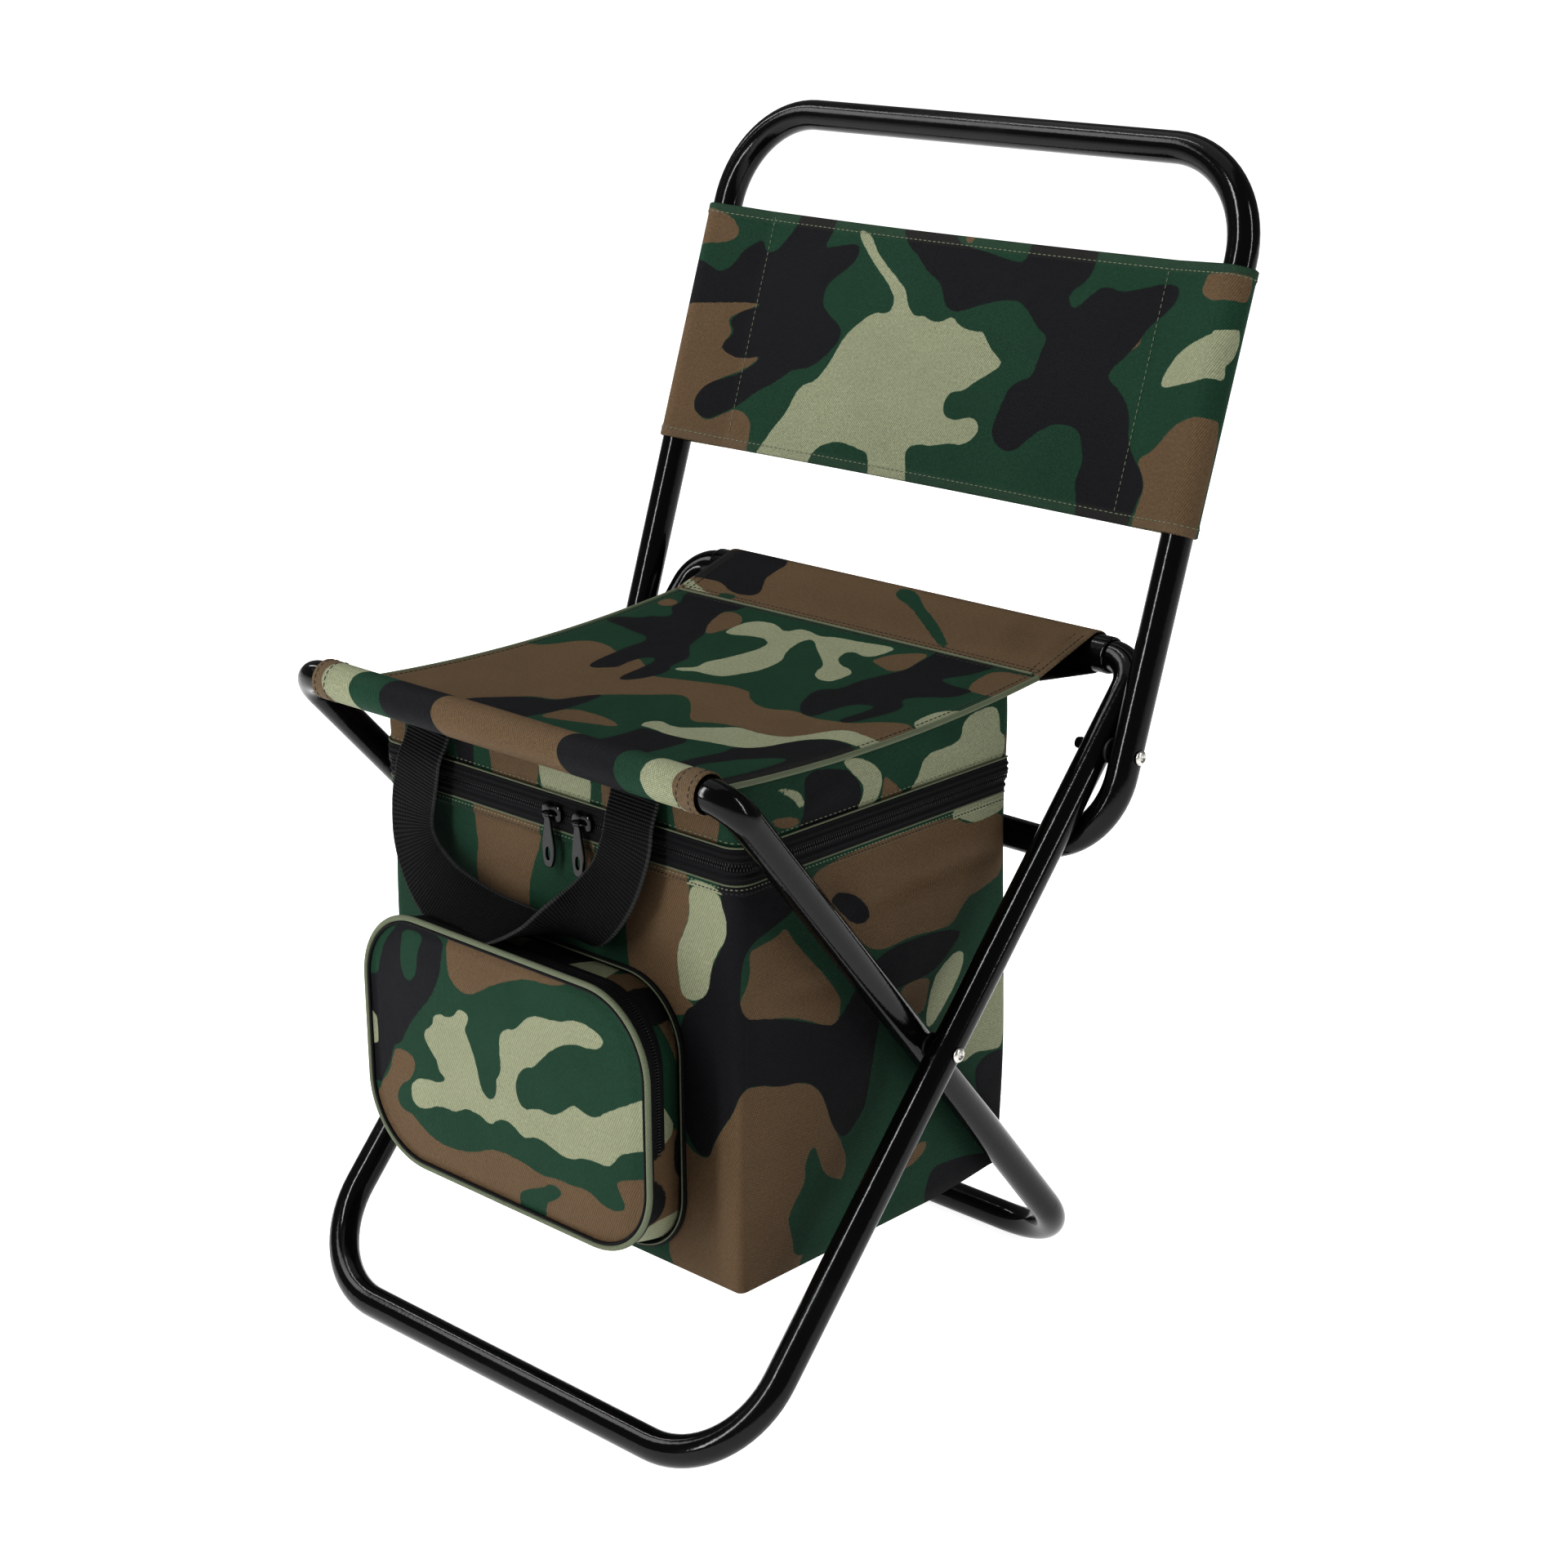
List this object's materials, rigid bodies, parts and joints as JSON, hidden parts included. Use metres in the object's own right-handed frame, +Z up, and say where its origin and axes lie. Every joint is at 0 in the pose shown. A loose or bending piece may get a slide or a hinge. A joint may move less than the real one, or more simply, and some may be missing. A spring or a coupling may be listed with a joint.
{
  "type": "folding stool with cooler bag",
  "caption": "Folding tube-frame stool with a cloth seat, tilting backrest and a zipped cooler bag with a front pocket under the seat.",
  "frame": {"origin": "on the floor, in the middle of the whole stool's plan", "axes": "+Z up, +Y towards the backrest, +X to the right as seen from the front"},
  "size_m": [0.3634, 0.3729, 0.5885],
  "materials": {
    "frame_paint": "gloss",
    "rivet_steel": "satin",
    "washer_nylon": "satin",
    "camouflage_cloth": "matte",
    "green_trim": "matte",
    "black_webbing": "matte",
    "white_foam": "matte",
    "foil_lining": "gloss",
    "grey_board": "matte",
    "zip_hardware": "gloss"
  },
  "bodies": {
    "front_frame": {"front_leg_frame": "frame_paint", "rear_seat_rail": "frame_paint", "crossing_rivet_right": "rivet_steel", "crossing_rivet_left": "rivet_steel", "crossing_washer_right": "washer_nylon", "crossing_washer_left": "washer_nylon", "backrest_rivet_right": "rivet_steel", "backrest_rivet_left": "rivet_steel", "backrest_washer_right": "washer_nylon", "backrest_washer_left": "washer_nylon", "rear_rail_sleeve": "camouflage_cloth", "seat_panel": "camouflage_cloth", "seat_piping_right": "green_trim", "seat_piping_left": "green_trim", "bag_lid_band": "camouflage_cloth", "lid_insulation": "white_foam", "zip_upper_tape": "black_webbing"},
    "rear_frame": {"rear_leg_frame": "frame_paint", "front_rail_sleeve": "camouflage_cloth"},
    "backrest": {"backrest_frame": "frame_paint", "backrest_cover": "camouflage_cloth"},
    "bag": {"bag_body": "camouflage_cloth", "base_board": "grey_board", "bag_insulation": "white_foam", "bag_liner": "foil_lining", "zip_lower_tape": "black_webbing", "pocket_gusset": "camouflage_cloth", "pocket_face": "camouflage_cloth", "pocket_zip": "black_webbing", "pocket_piping": "green_trim", "pocket_binding": "black_webbing"},
    "slider_left": {"zip_slider_left": "zip_hardware"},
    "pull_left": {"zip_pull_left": "zip_hardware"},
    "slider_right": {"zip_slider_right": "zip_hardware"},
    "pull_right": {"zip_pull_right": "zip_hardware"},
    "handle": {"carry_handle": "black_webbing"},
    "pocket_slider": {"pocket_zip_slider": "zip_hardware"},
    "pocket_pull": {"pocket_zip_pull": "zip_hardware"}
  },
  "joints": [
    {"name": "fold", "type": "hinge", "parent": "front_frame", "child": "rear_frame", "pos_m": [0, -0.02804, 0.17644], "axis": [-1, 0, 0], "range_deg": [0, 70], "deforming": ["seat_panel", "seat_piping_right", "seat_piping_left"]},
    {"name": "backrest_tilt", "type": "hinge", "parent": "front_frame", "child": "backrest", "pos_m": [0, 0.08403, 0.30197], "axis": [1, 0, 0], "range_deg": [0, 93]},
    {"name": "bag_open", "type": "hinge", "parent": "front_frame", "child": "bag", "pos_m": [0, 0.05617, 0.28118], "axis": [1, 0, 0], "range_deg": [0, 5]},
    {"name": "slide_left", "type": "slide", "parent": "front_frame", "child": "slider_left", "axis": [1, 0, 0], "range_m": [-0.1, 0]},
    {"name": "swing_left", "type": "hinge", "parent": "slider_left", "child": "pull_left", "pos_m": [0.0039, -0.14283, 0.29003], "axis": [-1, 0, 0], "range_deg": [0, 100]},
    {"name": "slide_right", "type": "slide", "parent": "front_frame", "child": "slider_right", "axis": [1, 0, 0], "range_m": [0, 0.078]},
    {"name": "swing_right", "type": "hinge", "parent": "slider_right", "child": "pull_right", "pos_m": [0.0245, -0.14283, 0.29003], "axis": [-1, 0, 0], "range_deg": [0, 100]},
    {"name": "handle_swing", "type": "hinge", "parent": "front_frame", "child": "handle", "pos_m": [-0.009, -0.13803, 0.318], "axis": [-1, 0, 0], "range_deg": [0, 80]},
    {"name": "pocket_slide", "type": "slide", "parent": "bag", "child": "pocket_slider", "axis": [0, 0, 1], "range_m": [0, 0.026]},
    {"name": "pocket_swing", "type": "hinge", "parent": "pocket_slider", "child": "pocket_pull", "pos_m": [-0.10085, -0.16204, 0.15591], "axis": [0.3846, 0.9231, 0], "range_deg": [0, 100]}
  ]
}
